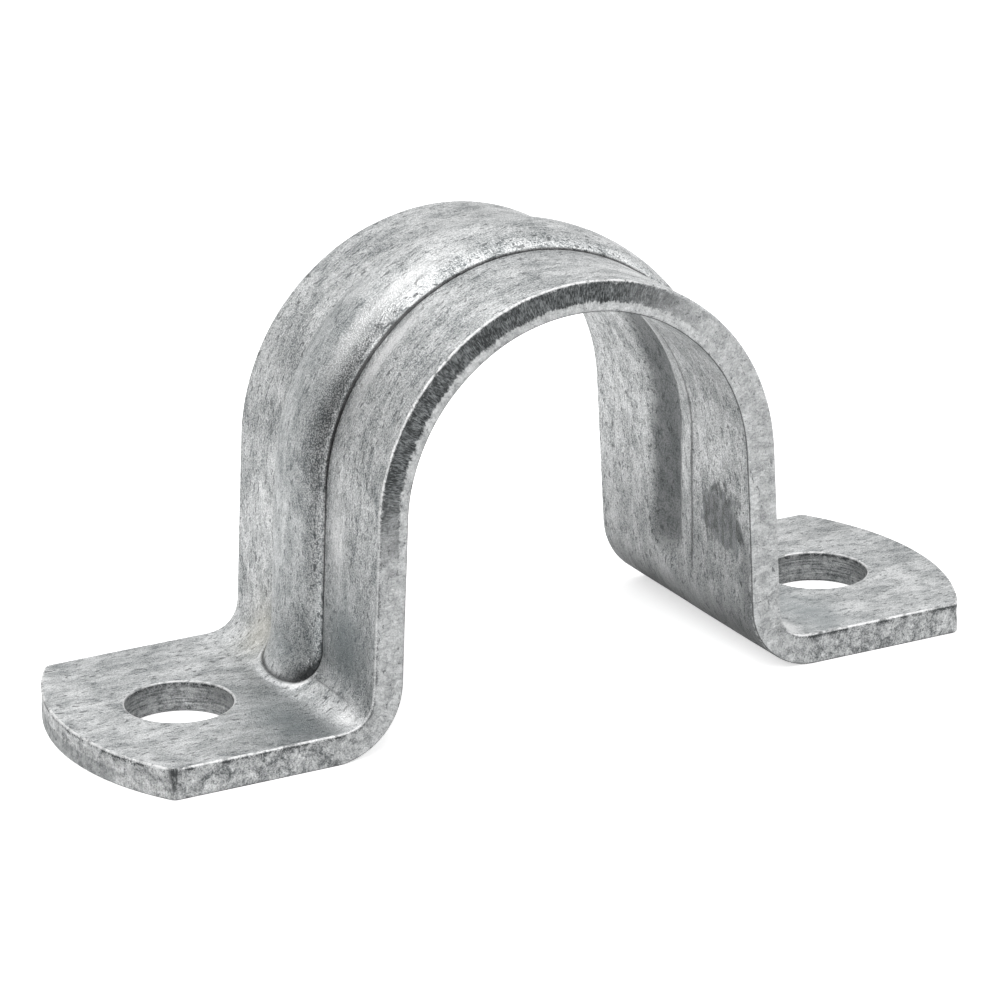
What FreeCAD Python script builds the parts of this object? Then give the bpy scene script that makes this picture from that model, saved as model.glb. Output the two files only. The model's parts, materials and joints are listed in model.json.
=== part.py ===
"""Two-hole conduit strap: one strip of sheet steel, pressed into an arch with two feet.

A raised bead stiffens the arch, runs down both legs and ends as a tongue in each foot
bend. On the inside it shows as a groove, whose ends curve out of the legs just above
the bends.

The strap stands on its feet: +Z is up, the conduit lies along Y through the arch, and
the origin is the middle of the underside. Sizes are in millimetres and degrees.
"""
import FreeCAD, Part
import math
import os

from FreeCAD import Vector

# ---- driving dimensions -------------------------------------------------------
SHEET = 2.3                # thickness of the steel strip
STRIP_WIDTH = 21.6         # width of the strip, along the conduit
CONDUIT_RADIUS = 13.35     # outside radius of the conduit, and inside radius of the arch
ARCH_CENTRE_HEIGHT = 16.0  # conduit's axis above the wall
LEG_SPLAY = 2.9            # lean of each leg, outwards towards its foot
BEND_RADIUS = 3.0          # radius in the hollow of each foot bend
CORNER_REACH = 31.3        # middle of the strap to the corners of each foot
END_BULGE = 3.3            # how far the curved end stands out past its corners
CORNER_ROUND = 0.6         # radius of the feet's corners, seen from above
EDGE_ROLL = 0.25           # roll-over of the sheared outline, on the outer surface
EDGE_BREAK = 0.1           # broken edge of the sheared outline, on the conduit's side

HOLE_DIAMETER = 7.6        # screw hole in each foot
HOLE_REACH = 25.9          # middle of the strap to each screw hole
HOLE_BREAK = 0.2           # broken edge at both rims of the holes

BEAD_OFFSET = 0.85         # bead's middle from the strip's middle, along the conduit
BEAD_WIDTH = 7.4           # width of the bead where it leaves the strip
BEAD_HEIGHT = 1.15         # how far the bead stands out
BEAD_SHOULDER = 2.0        # radius of its two shoulders
BEAD_STEEPNESS = 56.0      # angle at which its sides leave the strip
BEAD_ROOT_RADIUS = 0.25    # hollow radius along its roots
TONGUE_RADIUS = 5.4        # radius on which each end of the bead leans out into its bend

GROOVE_WIDTH = 5.0         # width of the groove on the inside, between its lips
GROOVE_DEPTH = 0.9         # how far the groove goes in
GROOVE_LIP_RADIUS = 1.5    # roll-over along its lips
GROOVE_RUN_OUT = 6.0       # radius on which each end curves out of the leg
GROOVE_END_HEIGHT = 0.8    # end of the groove above the foot bend

TOUCHING = 0.001           # points, faces and directions this close count as meeting

# ---- what follows from them ---------------------------------------------------
ALONG_CONDUIT = Vector(0, 1, 0)
splay = math.radians(LEG_SPLAY)
outer_radius = CONDUIT_RADIUS + SHEET
bend_height = BEND_RADIUS + SHEET
end_reach = CORNER_REACH + END_BULGE
leg_down = Vector(math.sin(splay), 0, -math.cos(splay))
leg_out = Vector(math.cos(splay), 0, math.sin(splay))
arch_centre = Vector(0, 0, ARCH_CENTRE_HEIGHT)


def around(centre, radius, angle):
    """Point at this radius and angle, in degrees from +X, around an axis along Y."""
    turn = math.radians(angle)
    return centre + Vector(math.cos(turn), 0, math.sin(turn)) * radius


# Each leg leaves the arch in the direction of its lean, and meets its bend in the same.
leg_top = around(arch_centre, outer_radius, LEG_SPLAY)
leg_length = (leg_top.z + leg_out.z * BEND_RADIUS - bend_height) / math.cos(splay)
bend_centre = leg_top + leg_out * BEND_RADIUS + leg_down * leg_length


def as_drawn(point):
    """The same point: the right side of the strap is the one that is drawn."""
    return point


def mirrored(point):
    """The same point on the left side of the strap."""
    return Vector(-point.x, point.y, point.z)


def on_left(solid):
    """The same solid on the left side of the strap."""
    return solid.mirror(Vector(0, 0, 0), Vector(1, 0, 0))


def is_upright(edge):
    """True for a straight edge along Z."""
    run = edge.Vertexes[-1].Point - edge.Vertexes[0].Point
    return edge.Length - abs(run.z) < TOUCHING


# ---- the folded strip ---------------------------------------------------------
def arch_edge(radius):
    """One surface of the arch, seen along the conduit, between the tops of the legs."""
    right = around(arch_centre, radius, LEG_SPLAY)
    crown = around(arch_centre, radius, 90)
    return Part.Arc(mirrored(right), crown, right).toShape()


def leg_edges(arch_radius, bend_radius, foot_height, place):
    """One surface of a leg, its bend and its foot, from the arch to the end of the foot."""
    start_angle = 180 + LEG_SPLAY
    end_angle = 270
    leg_start = place(around(arch_centre, arch_radius, LEG_SPLAY))
    bend_start = place(around(bend_centre, bend_radius, start_angle))
    bend_middle = place(around(bend_centre, bend_radius, (start_angle + end_angle) / 2))
    bend_end = place(around(bend_centre, bend_radius, end_angle))
    foot_end = place(Vector(end_reach, 0, foot_height))
    return [
        Part.LineSegment(leg_start, bend_start).toShape(),
        Part.Arc(bend_start, bend_middle, bend_end).toShape(),
        Part.LineSegment(bend_end, foot_end).toShape(),
    ]


def whole_edge(arch_radius, bend_radius, foot_height):
    """One surface of the strip, seen along the conduit, from end to end."""
    edges = [arch_edge(arch_radius)]
    for place in (as_drawn, mirrored):
        edges += leg_edges(arch_radius, bend_radius, foot_height, place)
    return edges


def carried_across(shape):
    """A line or face in the XZ plane, carried across the width of the strip."""
    return shape.translated(ALONG_CONDUIT * (-STRIP_WIDTH / 2)).extrude(ALONG_CONDUIT * STRIP_WIDTH)


def folded_strip(outer_edges, inner_edges):
    """The strip as bent, with square ends that reach as far as the curved ones will."""
    edges = outer_edges + inner_edges
    for place in (as_drawn, mirrored):
        lower_end = place(Vector(end_reach, 0, 0))
        upper_end = place(Vector(end_reach, 0, SHEET))
        edges.append(Part.LineSegment(lower_end, upper_end).toShape())
    return carried_across(Part.Face(Part.Wire(Part.__sortEdges__(edges))))


def outline_block():
    """A tall block with the outline of the strap from above, its ends bulging arcs."""
    front = Vector(CORNER_REACH, -STRIP_WIDTH / 2, 0)
    back = Vector(CORNER_REACH, STRIP_WIDTH / 2, 0)
    tip = Vector(end_reach, 0, 0)
    edges = [
        Part.LineSegment(mirrored(front), front).toShape(),
        Part.Arc(front, tip, back).toShape(),
        Part.LineSegment(back, mirrored(back)).toShape(),
        Part.Arc(mirrored(back), mirrored(tip), mirrored(front)).toShape(),
    ]
    height = ARCH_CENTRE_HEIGHT + outer_radius + SHEET
    block = Part.Face(Part.Wire(edges)).extrude(Vector(0, 0, height))
    corners = [edge for edge in block.Edges if is_upright(edge)]
    return block.makeFillet(CORNER_ROUND, corners)


# ---- bead and groove ----------------------------------------------------------
def on_block(foot, outward, width, upper_edges):
    """A section's upper edges, closed by a block that reaches half a sheet below them."""
    half = ALONG_CONDUIT * (width / 2)
    below = outward * (-SHEET / 2)
    front = foot - half
    back = foot + half
    edges = upper_edges + [
        Part.LineSegment(front, front + below).toShape(),
        Part.LineSegment(front + below, back + below).toShape(),
        Part.LineSegment(back + below, back).toShape(),
    ]
    return Part.Face(Part.Wire(Part.__sortEdges__(edges)))


def bead_section(foot, outward):
    """The bead's section over the point "foot": a broad crown between two shoulder arcs.

    The arcs are tangent. With the crown's radius larger by "spread", it turns by "turn":
    width / 2 = shoulder * sin(steepness) + spread * sin(turn)
    height = shoulder * (1 - cos(steepness)) + spread * (1 - cos(turn))
    """
    steepness = math.radians(BEAD_STEEPNESS)
    run = BEAD_WIDTH / 2 - BEAD_SHOULDER * math.sin(steepness)
    drop = BEAD_HEIGHT - BEAD_SHOULDER * (1 - math.cos(steepness))
    turn = 2 * math.atan(drop / run)

    def on_shoulder(side, slope):
        across = side * (run + BEAD_SHOULDER * math.sin(slope))
        height = BEAD_SHOULDER * (math.cos(slope) - math.cos(steepness))
        return foot + ALONG_CONDUIT * across + outward * height

    edges = []
    for side in (-1, 1):
        root = on_shoulder(side, steepness)
        middle = on_shoulder(side, (steepness + turn) / 2)
        edges.append(Part.Arc(root, middle, on_shoulder(side, turn)).toShape())
    crest = foot + outward * BEAD_HEIGHT
    edges.append(Part.Arc(on_shoulder(-1, turn), crest, on_shoulder(1, turn)).toShape())
    return on_block(foot, outward, BEAD_WIDTH, edges)


def groove_section(foot, outward):
    """The groove's section over the point "foot": one arc."""
    half = ALONG_CONDUIT * (GROOVE_WIDTH / 2)
    floor = foot + outward * GROOVE_DEPTH
    arc = Part.Arc(foot - half, floor, foot + half).toShape()
    return on_block(foot, outward, GROOVE_WIDTH, [arc])


def over_arch(section):
    """A section at the top of the right leg, carried over the arch to the left one."""
    return section.revolve(arch_centre, ALONG_CONDUIT, 2 * LEG_SPLAY - 180)


def raised_bead():
    """The bead: over the arch, down both legs, and out on an arc until the bends hide it.

    Each end stops at the middle of the sheet, so that it doesn't reach the other side.
    """
    foot = leg_top + ALONG_CONDUIT * BEAD_OFFSET
    section = bead_section(foot, leg_out)
    straight = leg_down * leg_length
    pivot = foot + straight + leg_out * (BEAD_HEIGHT + TONGUE_RADIUS)
    leaning = section.translated(straight).revolve(pivot, ALONG_CONDUIT, -90)
    front = bend_centre - ALONG_CONDUIT * (STRIP_WIDTH / 2)
    in_bend = Part.makeCylinder(BEND_RADIUS + SHEET / 2, STRIP_WIDTH, front, ALONG_CONDUIT)
    leg = section.extrude(straight).fuse(leaning.common(in_bend))
    return over_arch(section).fuse([leg, on_left(leg)])


def pressed_groove():
    """What the groove takes out: over the arch, down the legs and out on an arc."""
    foot = around(arch_centre, CONDUIT_RADIUS, LEG_SPLAY) + ALONG_CONDUIT * BEAD_OFFSET
    section = groove_section(foot, leg_out)
    to_pivot = GROOVE_RUN_OUT - GROOVE_DEPTH
    run_out_length = math.sqrt(GROOVE_RUN_OUT ** 2 - to_pivot ** 2)
    straight = leg_down * (leg_length - GROOVE_END_HEIGHT - run_out_length)
    pivot = foot + straight - leg_out * to_pivot
    end = section.translated(straight).revolve(pivot, ALONG_CONDUIT, 90)
    leg = section.extrude(straight).fuse(end)
    return over_arch(section).fuse([leg, on_left(leg)])


def screw_holes():
    """What the punch takes out of the two feet."""
    punched = []
    for reach in (-HOLE_REACH, HOLE_REACH):
        below = Vector(reach, 0, -SHEET)
        punched.append(Part.makeCylinder(HOLE_DIAMETER / 2, 3 * SHEET, below))
    return Part.makeCompound(punched)


def skin(solids):
    """The surface of one or more solids."""
    return Part.makeCompound(solids.Shells)


def edges_between(shape, first, second):
    """The edges of the shape whose middles lie on both of two surfaces."""
    found = []
    for edge in shape.Edges:
        half_way = (edge.FirstParameter + edge.LastParameter) / 2
        middle = Part.Vertex(edge.valueAt(half_way))
        if all(middle.distToShape(surface)[0] < TOUCHING for surface in (first, second)):
            found.append(edge)
    return found


# ---- the strap ----------------------------------------------------------------
outer_edges = whole_edge(outer_radius, BEND_RADIUS, SHEET)
inner_edges = whole_edge(CONDUIT_RADIUS, bend_height, 0)
outer_surface = carried_across(Part.Wire(Part.__sortEdges__(outer_edges)))
inner_surface = carried_across(Part.Wire(Part.__sortEdges__(inner_edges)))
outline = outline_block()
bead = raised_bead()
groove = pressed_groove()
holes = screw_holes()

strip = folded_strip(outer_edges, inner_edges).common(outline)
strip = strip.makeChamfer(EDGE_ROLL, edges_between(strip, outer_surface, skin(outline)))
strip = strip.makeChamfer(EDGE_BREAK, edges_between(strip, inner_surface, skin(outline)))

strap = strip.fuse(bead).cut(groove).cut(holes)
strap = strap.makeFillet(BEAD_ROOT_RADIUS, edges_between(strap, outer_surface, skin(bead)))
strap = strap.makeFillet(GROOVE_LIP_RADIUS, edges_between(strap, inner_surface, skin(groove)))
strap = strap.makeChamfer(HOLE_BREAK, edges_between(strap, skin(strip), skin(holes)))
strap = strap.Solids[0]

os.makedirs("parts", exist_ok=True)
strap.exportStep("parts/strap.step")

box = strap.optimalBoundingBox()
print(f"strap: {box.XLength:.2f} x {box.YLength:.2f} x {box.ZLength:.2f} mm")
print(f"volume {strap.Volume:.0f} mm3, valid {strap.isValid()}")
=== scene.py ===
# %% [markdown]
# # A conduit strap of galvanised sheet steel
#
# The strap is one strip of sheet steel. A press cut it out, punched two screw holes, pressed
# a bead along it for stiffness, and folded it over a former the size of the conduit. It was
# then dipped in zinc. This notebook makes it in the same order: a flat strip with a height at
# every point, and then one folding function that bends the whole strip at once.
#
# First the finished solid model is loaded. It gives the sizes, so that nothing is measured twice.

# %% Load the frame and note its box
import json

import bmesh
import bpy
import numpy as np
from mathutils import Matrix, Vector


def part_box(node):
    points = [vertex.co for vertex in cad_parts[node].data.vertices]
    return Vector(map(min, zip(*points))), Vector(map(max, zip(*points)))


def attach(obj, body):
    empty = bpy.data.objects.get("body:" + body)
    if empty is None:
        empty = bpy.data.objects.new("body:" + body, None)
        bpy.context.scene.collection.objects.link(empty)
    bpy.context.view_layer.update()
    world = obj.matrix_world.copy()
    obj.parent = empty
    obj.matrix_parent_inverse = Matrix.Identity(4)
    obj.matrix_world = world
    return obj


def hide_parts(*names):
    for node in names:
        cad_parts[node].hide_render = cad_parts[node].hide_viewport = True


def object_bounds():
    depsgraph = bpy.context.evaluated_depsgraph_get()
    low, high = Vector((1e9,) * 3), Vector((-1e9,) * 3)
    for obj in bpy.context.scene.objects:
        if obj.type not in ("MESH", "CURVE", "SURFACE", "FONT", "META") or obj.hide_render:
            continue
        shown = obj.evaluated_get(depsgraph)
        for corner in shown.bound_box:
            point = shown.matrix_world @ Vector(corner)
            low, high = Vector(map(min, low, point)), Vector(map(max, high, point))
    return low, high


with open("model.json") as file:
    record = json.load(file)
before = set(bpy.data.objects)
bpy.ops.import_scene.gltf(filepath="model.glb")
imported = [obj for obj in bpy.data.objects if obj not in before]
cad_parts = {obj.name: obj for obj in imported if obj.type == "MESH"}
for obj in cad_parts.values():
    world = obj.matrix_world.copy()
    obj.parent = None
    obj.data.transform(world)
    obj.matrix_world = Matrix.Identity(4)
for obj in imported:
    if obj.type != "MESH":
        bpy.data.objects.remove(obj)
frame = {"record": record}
cad_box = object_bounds()
print("box of the solid model:", cad_box)

# %% [markdown]
# ## Sizes
#
# The mounts in the record say where the conduit and the screws go, and the box gives the
# width, the height and the length. What they can't give, such as the sheet's thickness and
# the bend radius, is named here. All sizes are in millimetres until the mesh is filled in.

# %% Sizes from the frame, and the few that it can't give
MM = 0.001
mounts = {mount["name"]: mount for mount in frame["record"]["mounts"]}
seat = mounts["conduit_seat"]
screws = mounts["screw_holes"]
lowest, highest = [np.array(corner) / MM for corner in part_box("strap")]

WIDTH = highest[1] - lowest[1]
END_REACH = highest[0]
CONDUIT_RADIUS = seat["dims"]["r_mm"]
AXIS_HEIGHT = seat["pos_m"][2] / MM
HOLE_RADIUS = screws["dims"]["hole_r_mm"]
HOLE_REACH = screws["dims"]["spacing_x_mm"] / 2

SHEET = 2.3
SPLAY = np.radians(2.9)
BEND_RADIUS = 3.0
END_BULGE = 3.3
CORNER_ROUND = 0.6
BEAD_HEIGHT = highest[2] - AXIS_HEIGHT - CONDUIT_RADIUS - SHEET
print(f"strip {WIDTH:.2f} wide, bead {BEAD_HEIGHT:.2f} high, reach {END_REACH:.2f}")

# %% [markdown]
# ## Folding a flat strip
#
# On the real strap every point of the flat strip ends up somewhere on the folded one. The
# strip's middle layer runs over the arch, down the leg, round the bend and out along the
# foot: an arc, a straight, an arc the other way and a straight. One formula covers all four.
# The chord of a stretch of length u that turns by k u is u sin(k u / 2) / (k u / 2) long, and
# it points half way between the first and last headings. A straight is a stretch with k = 0.
#
# A modelling program would do this with a curve modifier. Writing it as a function keeps the
# distance along the strip exact, and every later step can work on the flat strip.

# %% The fold: distance along the strip to a place in the XZ plane
middle_arch = CONDUIT_RADIUS + SHEET / 2
middle_bend = BEND_RADIUS + SHEET / 2
quarter_less_splay = np.pi / 2 - SPLAY
outer_drop = (CONDUIT_RADIUS + SHEET + BEND_RADIUS) * np.sin(SPLAY)
leg_length = (AXIS_HEIGHT + outer_drop - SHEET - BEND_RADIUS) / np.cos(SPLAY)

# Each stretch is its length and how fast it turns, from the crown outwards.
arch = (middle_arch * quarter_less_splay, -1 / middle_arch)
leg = (leg_length, 0.0)
bend = (middle_bend * quarter_less_splay, 1 / middle_bend)
leg_start = arch[0]
bend_start = leg_start + leg[0]
foot_start = bend_start + bend[0]


def fold(distance):
    """Place and upward normal of the strip's middle layer, at a distance from the crown.

    Each stretch adds its own chord, for the part of the distance that lies in it.
    Returns x, z, normal x, normal z, and mirrors them for negative distances.
    """
    side = np.where(distance < 0, -1.0, 1.0)
    left = np.abs(distance)
    x = np.zeros_like(left)
    z = np.full_like(left, AXIS_HEIGHT + middle_arch)
    heading = np.zeros_like(left)
    for length, turning in (arch, leg, bend, (np.inf, 0.0)):
        here = np.minimum(left, length)
        turn = turning * here
        chord = here * np.sinc(turn / 2 / np.pi)
        x += chord * np.cos(heading + turn / 2)
        z += chord * np.sin(heading + turn / 2)
        heading += turn
        left = left - here
    return side * x, z, -side * np.sin(heading), np.cos(heading)


foot_x = fold(np.array([foot_start]))[0][0]
hole_distance = foot_start + HOLE_REACH - foot_x
print(f"leg {leg_length:.2f} long, foot begins at x = {foot_x:.2f}")

# %% [markdown]
# ## The bead and the groove
#
# The bead is a low ridge with a broad crown and two rounded shoulders. In the foot bend it
# leans out on a wider arc than the sheet does, so the curved metal rises to meet it and the
# bead ends in a tongue. Its roots are sharp, because the die pinched the metal there, and
# round the tongue the die left a low step.
#
# On the conduit's side the punch left a groove: a gentle slope in front, then a lip over the
# deep part. It ends above the bend, where the punch curved out of the metal.
#
# Both are heights over the flat strip, as functions of the distance along and across. They
# could be extruded along a curve, but as heights they meet the strip without any cutting.

# %% Section of the bead
BEAD_MIDDLE = 0.85
BEAD_WIDTH = 7.4
SHOULDER = 2.0
STEEPNESS = np.radians(56.0)

shoulder_middle = BEAD_WIDTH / 2 - SHOULDER * np.sin(STEEPNESS)
shoulder_drop = BEAD_HEIGHT - SHOULDER * (1 - np.cos(STEEPNESS))
crown_turn = 2 * np.arctan2(shoulder_drop, shoulder_middle)
crown_radius = SHOULDER + shoulder_middle / np.sin(crown_turn)
print(f"crown radius {crown_radius:.2f}, it turns by {np.degrees(crown_turn):.1f} degrees")


def bead_section(across):
    """Height of the bead's section: a crown arc, and a shoulder arc tangent to it each side.

    Crown: H - R + sqrt(R^2 - y^2). Shoulder: sqrt(r^2 - (y - m)^2) - r cos(steepness), where
    m is how far the shoulder's centre lies from the middle. It is below zero past the root.
    """
    y = np.abs(across - BEAD_MIDDLE)
    crown = BEAD_HEIGHT - crown_radius + np.sqrt(np.maximum(crown_radius ** 2 - y ** 2, 0.0))
    beside = np.maximum(SHOULDER ** 2 - (y - shoulder_middle) ** 2, 0.0)
    shoulder = np.sqrt(beside) - SHOULDER * np.cos(STEEPNESS)
    return np.where(y < crown_radius * np.sin(crown_turn), crown, shoulder)


# %% Helpers that join heights softly
def soft_floor(height, softness):
    """The height where it is above zero, else zero, with a hollow between the two."""
    return (height + np.sqrt(height ** 2 + softness ** 2)) / 2


def smooth_step(low, high, value):
    """0 below "low", 1 above "high", and 3 t^2 - 2 t^3 between the two."""
    t = np.clip((value - low) / (high - low), 0.0, 1.0)
    return t * t * (3 - 2 * t)


# %% How far the bead stands over the sheet
TONGUE_RADIUS = 5.4
to_pivot = BEAD_HEIGHT + TONGUE_RADIUS
past_centre = to_pivot - BEND_RADIUS


def angle_in_bend(distance):
    """Angle by which the sheet has turned since the start of the bend: below zero before it."""
    return (np.abs(distance) - bend_start) / middle_bend


def turned_in_bend(distance):
    """The same angle, held between zero and the whole bend."""
    return np.clip(angle_in_bend(distance), 0.0, quarter_less_splay)


def bead_over_sheet(distance, across):
    """How far the bead's section stands over the sheet, below zero where it is hidden in it.

    In the bend the bead's lines are arcs about a pivot that lies e past the bend's centre.
    Turned by an angle a, a line b above the leg stands over the curved surface by
    r + e cos a - sqrt((r + e - b)^2 - (e sin a)^2), where r is the bend's radius.
    """
    turned = turned_in_bend(distance)
    reach = to_pivot - bead_section(across)
    lean = np.sqrt(reach ** 2 - (past_centre * np.sin(turned)) ** 2)
    return BEND_RADIUS + past_centre * np.cos(turned) - lean


# %% Height of the bead over the strip
ROOT_SOFTNESS = 0.08
ROOT_PINCH = 0.07
PAD_REACH = 0.42
PAD_SLOPE = 0.08
PAD_HEIGHT = 0.10


def bead_height(distance, across):
    """Height of the bead over the strip's outer surface, with its pinched root and its pad.

    The pinch is a narrow bell along the root. The pad is the low step round the tongue.
    """
    over = bead_over_sheet(distance, across)
    pinch = ROOT_PINCH * np.exp(-(over / ROOT_SOFTNESS) ** 2)
    pad = smooth_step(-PAD_REACH - PAD_SLOPE, -PAD_REACH, over)
    pad = pad * smooth_step(0.3, 0.9, turned_in_bend(distance))
    return soft_floor(over, ROOT_SOFTNESS) - pinch + PAD_HEIGHT * pad


# %% Depth of the groove on the conduit's side
GROOVE_FRONT = -2.25
GROOVE_LIP = -0.40
GROOVE_DRIFT = 0.85
GROOVE_BACK = 4.1
SHELF_DEPTH = 0.18
FRONT_STEP = 0.05
GROOVE_DEPTH = 0.9
RUN_OUT_RADIUS = 6.0
RUN_OUT_END = -0.4


def across_groove(distance, across):
    """Place across the groove, which drifts to the front by GROOVE_DRIFT on its way up a leg."""
    return across + GROOVE_DRIFT * np.clip((bend_start - np.abs(distance)) / leg_length, 0, 1)


def groove_height(distance, across):
    """Depth of the groove into the metal, measured from the conduit's side.

    Across it there is a slope down to the lip, a quick drop, and a half wave back up. Near
    its end everything is lifted along the arc on which the punch curved out.
    """
    across = across_groove(distance, across)
    slope = SHELF_DEPTH * smooth_step(GROOVE_FRONT, GROOVE_LIP + 0.4, across)
    slope += FRONT_STEP * smooth_step(GROOVE_FRONT - 0.1, GROOVE_FRONT + 0.1, across)
    floor = (GROOVE_DEPTH - SHELF_DEPTH) * smooth_step(GROOVE_LIP, GROOVE_LIP + 0.9, across)
    rise = 1 - smooth_step(GROOVE_LIP + 0.9, GROOVE_BACK + 0.5, across)
    trough = (slope + floor) * rise
    run_out = np.sqrt(RUN_OUT_RADIUS ** 2 - (RUN_OUT_RADIUS - GROOVE_DEPTH) ** 2)
    past = np.abs(distance) - (bend_start - RUN_OUT_END - run_out)
    past = np.clip(past, 0.0, 0.99 * RUN_OUT_RADIUS)
    lift = RUN_OUT_RADIUS - np.sqrt(RUN_OUT_RADIUS ** 2 - past ** 2)
    return soft_floor(trough - lift, 0.05)

# %% [markdown]
# ## The outline of a foot
#
# The shears left the strip with straight sides and bulging ends. A foot's outline is walked
# once, from one end of the bend line to the other: a side, a small corner, the long arc of
# the end, the other corner and the other side. Each point carries the direction that points
# out of the metal, because the sheared wall is built on it.
#
# A boolean cut would also give this outline. Walking it keeps the mesh in even strips, with
# no slivers, so that light runs smoothly over it.

# %% The outline of the right foot, on the flat strip
HALF_WIDTH = WIDTH / 2
end_radius = (HALF_WIDTH ** 2 + END_BULGE ** 2) / (2 * END_BULGE)
flat_offset = foot_start - foot_x
end_centre = END_REACH - end_radius + flat_offset
corner_across = HALF_WIDTH - CORNER_ROUND
corner_along = end_centre + np.sqrt((end_radius - CORNER_ROUND) ** 2 - corner_across ** 2)
corner_turn = np.arctan2(corner_across, corner_along - end_centre)


def foot_outline(side_steps, corner_steps, end_steps):
    """Points and outward directions along a foot's outline, from the front to the back.

    The end is an arc of the circle through the two corners and the tip. Each corner is an
    arc tangent to that circle and to the side.
    """
    along = np.linspace(foot_start, corner_along, side_steps, endpoint=False)
    side = np.stack([along, np.full_like(along, -HALF_WIDTH)], axis=1)
    side_out = np.tile([0.0, -1.0], (side_steps, 1))

    turn = np.linspace(-np.pi / 2, -corner_turn, corner_steps, endpoint=False)
    corner_out = np.stack([np.cos(turn), np.sin(turn)], axis=1)
    corner = np.array([corner_along, -corner_across]) + CORNER_ROUND * corner_out

    turn = np.linspace(-corner_turn, 0.0, end_steps)
    end_out = np.stack([np.cos(turn), np.sin(turn)], axis=1)
    end = np.array([end_centre, 0.0]) + end_radius * end_out

    half = np.concatenate([side, corner, end])
    half_out = np.concatenate([side_out, corner_out, end_out])
    flip = np.array([1.0, -1.0])
    points = np.concatenate([half, half[-2::-1] * flip])
    outward = np.concatenate([half_out, half_out[-2::-1] * flip])
    return points, outward


outline, outline_out = foot_outline(side_steps=30, corner_steps=5, end_steps=34)
print("points round a foot:", len(outline), " tip at", outline[:, 0].max())

# %% [markdown]
# ## Skins and walls
#
# The strap's surface is sewn from a few sheets, each a grid of points:
#
# * two skins, outside and inside, over the arch, the legs and the bends,
# * two skins on each foot, spread from the rim of the screw hole to the outline,
# * one sheared wall all round the outline, and one punched wall in each hole.
#
# Each point is given on the flat strip, as a distance along, a distance across and a height
# above the conduit's side, and is then folded. Every sheet also keeps its flat coordinates,
# which later lay the streaks and scratches along the metal.

# %% Where the grid lines lie, closer together where the shape changes fast
ROUND = 0.14
BREAK = 0.08


def spread(*stops):
    """Grid lines through the stops: (position, step up to the next position), ..."""
    lines = []
    for (start, step), (end, _) in zip(stops[:-1], stops[1:]):
        count = max(int(np.ceil((end - start) / step)), 1)
        lines.append(np.linspace(start, end, count, endpoint=False))
    return np.concatenate(lines + [[stops[-1][0]]])


front_root = BEAD_MIDDLE - BEAD_WIDTH / 2
back_root = BEAD_MIDDLE + BEAD_WIDTH / 2
across_lines = spread(
    (-HALF_WIDTH, 0.45), (front_root - 0.6, 0.06), (front_root + 0.5, 0.22),
    (back_root - 0.5, 0.06), (back_root + 0.6, 0.45), (HALF_WIDTH, 0))
half_along = spread(
    (0.0, 0.42), (leg_start, 0.42), (bend_start, 0.16), (foot_start, 0))
along_lines = np.concatenate([-half_along[:0:-1], half_along])
print("grid:", len(along_lines), "along,", len(across_lines), "across")

# %% Slow unevenness of the rolled and pressed metal
rng = np.random.default_rng(7)
WAVES = 26
UNEVENNESS = 0.02
wave_pitch = rng.uniform(3.5, 16.0, WAVES)
wave_heading = rng.uniform(0, np.pi, WAVES)
wave_start = rng.uniform(0, 2 * np.pi, WAVES)


def unevenness(distance, across, amount):
    """A sum of plane waves of many headings and pitches, each as high as it is long."""
    total = np.zeros(np.broadcast(distance, across).shape)
    for pitch, heading, start in zip(wave_pitch, wave_heading, wave_start):
        phase = (distance * np.cos(heading) + across * np.sin(heading)) / pitch
        total += pitch * np.sin(2 * np.pi * phase + start)
    return amount * total / wave_pitch.max() / np.sqrt(WAVES)


# %% A sheet of points, and the list that collects them
SKIN, SHEARED, PUNCHED = 0, 1, 2
sheets = []


def add_sheet(distance, across, height, closed, kind, inside, flat):
    """Folds a grid of flat points and keeps it: distance, across and height are 2-D arrays.

    A folded point is the middle layer's point plus its normal times (height - sheet / 2).
    "kind" is SKIN, SHEARED or PUNCHED, "inside" goes from 0 on the outer skin to 1 on the
    conduit's side, and "flat" is the pair of arrays that lays patterns on the sheet.
    """
    x, z, normal_x, normal_z = fold(distance)
    lift = height - SHEET / 2
    points = np.stack([x + normal_x * lift, across + 0 * x, z + normal_z * lift], axis=-1)
    sheets.append({
        "points": points, "closed": closed, "kind": kind,
        "inside": np.broadcast_to(inside, x.shape),
        "distance": distance, "across": across + 0 * x,
        "flat": np.stack(np.broadcast_arrays(*flat), axis=-1),
    })


# %% What the fold did to the outer skin of a bend
EDGE_CURL = 0.30
CURL_START = 5.6
CREASE_TURN = 0.65
CREASE_WIDTH = 0.03
CREASE_DEPTH = 0.03


def bend_crease(distance, across):
    """A fine crease across a bend, from the bead to near the front edge: a narrow bell."""
    crease = np.exp(-((angle_in_bend(distance) - CREASE_TURN) / CREASE_WIDTH) ** 2)
    crease = crease * smooth_step(front_root - 0.3, front_root - 0.7, across)
    return crease * smooth_step(-HALF_WIDTH + 1.5, -HALF_WIDTH + 4.0, across)


def bend_marks(distance, across):
    """In a bend the sheet's edges curl down, and a fine crease runs out from the bead.

    Curl: a parabola from CURL_START to the edge, as strong as the bend is turned:
    sin^2 of the angle on a scale where the whole bend is half a turn.
    """
    turn = angle_in_bend(distance)
    strength = np.sin(np.pi * np.clip(turn / quarter_less_splay, 0.0, 1.0)) ** 2
    past = np.maximum(np.abs(across) - CURL_START, 0.0) / (HALF_WIDTH - CURL_START)
    return -EDGE_CURL * strength * past ** 2 - CREASE_DEPTH * bend_crease(distance, across)


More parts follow.
